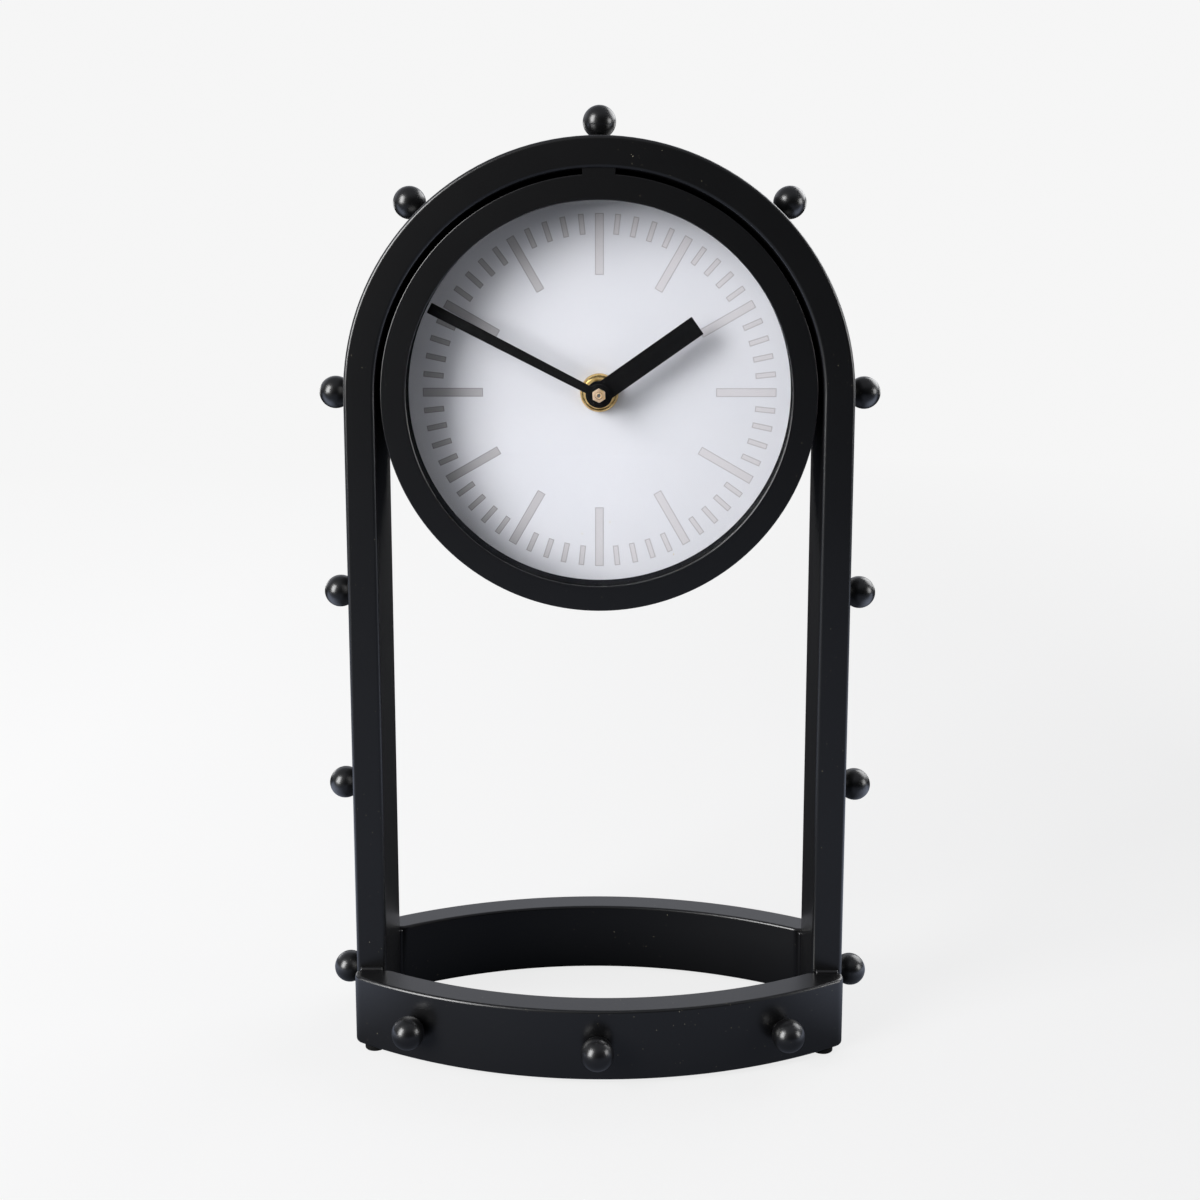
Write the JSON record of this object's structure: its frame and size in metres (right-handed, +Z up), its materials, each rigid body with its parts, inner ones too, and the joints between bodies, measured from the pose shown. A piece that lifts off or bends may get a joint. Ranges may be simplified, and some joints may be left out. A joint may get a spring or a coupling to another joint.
{
  "type": "table clock",
  "caption": "Arched table clock: a round drum with a tick dial and two hands hung in a tube arch with ball studs, on a lens-shaped base of two bowed rails.",
  "frame": {"origin": "middle of the clock's bounding box, on the surface it stands on", "axes": "+Z up, +X to the right of someone facing the dial, +Y from the dial towards the back"},
  "size_m": [0.2186, 0.1214, 0.3693],
  "materials": {
    "black_paint": "satin black powder coat on steel",
    "hand_paint": "satin black paint on aluminium",
    "rubber": "matt black",
    "black_plastic": "matt black",
    "lens": "clear, polished",
    "dial_card": "matt cool white card",
    "board": "raw fibreboard",
    "brass": "polished",
    "steel": "plain",
    "pale_plastic": "plain moulded",
    "battery_sleeve": "plain sleeve",
    "circuit": "solder mask",
    "copper": "enamelled wire"
  },
  "bodies": {
    "frame": {"arch_frame": "black_paint", "arch_stud_left": "black_paint", "arch_stud_centre": "black_paint", "arch_stud_right": "black_paint", "leg_stud_left_1": "black_paint", "leg_stud_left_2": "black_paint", "leg_stud_left_3": "black_paint", "leg_stud_left_4": "black_paint", "leg_stud_right_1": "black_paint", "leg_stud_right_2": "black_paint", "leg_stud_right_3": "black_paint", "leg_stud_right_4": "black_paint", "front_rail": "black_paint", "rail_stud_left": "black_paint", "rail_stud_centre": "black_paint", "rail_stud_right": "black_paint", "rear_rail": "black_paint", "foot_front_left": "rubber", "foot_front_right": "rubber", "foot_rear_left": "rubber", "foot_rear_right": "rubber", "hanger_tab": "black_paint", "drum_case": "black_paint", "glass_lens": "lens", "spacer_ring": "black_plastic", "dial": "dial_card", "dial_board": "board", "back_cover": "black_paint", "threaded_bushing": "brass", "rubber_washer": "rubber", "fixing_nut": "brass", "movement_lid": "black_plastic", "movement_case": "black_plastic", "circuit_board": "circuit", "motor_coil": "copper", "spring_contact": "steel", "leaf_contact": "steel"},
    "minute_train": {"minute_hand": "hand_paint", "hand_nut": "brass", "minute_arbor": "brass"},
    "hour_train": {"hour_hand": "hand_paint", "hour_wheel": "pale_plastic"},
    "setting_train": {"minute_wheel": "pale_plastic", "setting_knob": "black_plastic"},
    "seconds_train": {"seconds_arbor": "steel"},
    "battery": {"battery": "battery_sleeve"}
  },
  "joints": [
    {"name": "minute_turn", "type": "hinge", "parent": "frame", "child": "minute_train", "pos_m": [0, 0, 0.26], "axis": [0, 1, 0], "continuous": true},
    {"name": "hour_turn", "type": "hinge", "parent": "frame", "child": "hour_train", "pos_m": [0, 0, 0.26], "axis": [0, 1, 0], "continuous": true},
    {"name": "setting_turn", "type": "hinge", "parent": "frame", "child": "setting_train", "pos_m": [0.00707, 0, 0.26707], "axis": [0, 1, 0], "continuous": true},
    {"name": "seconds_turn", "type": "hinge", "parent": "frame", "child": "seconds_train", "pos_m": [0, 0, 0.26], "axis": [0, 1, 0], "continuous": true},
    {"name": "battery_slide", "type": "slide", "parent": "frame", "child": "battery", "axis": [0, 1, 0], "range_m": [0, 0.016]}
  ],
  "couplings": [
    {"joint": "hour_turn", "follows": "minute_turn", "ratio": 0.083333},
    {"joint": "setting_turn", "follows": "minute_turn", "ratio": -0.33333}
  ]
}
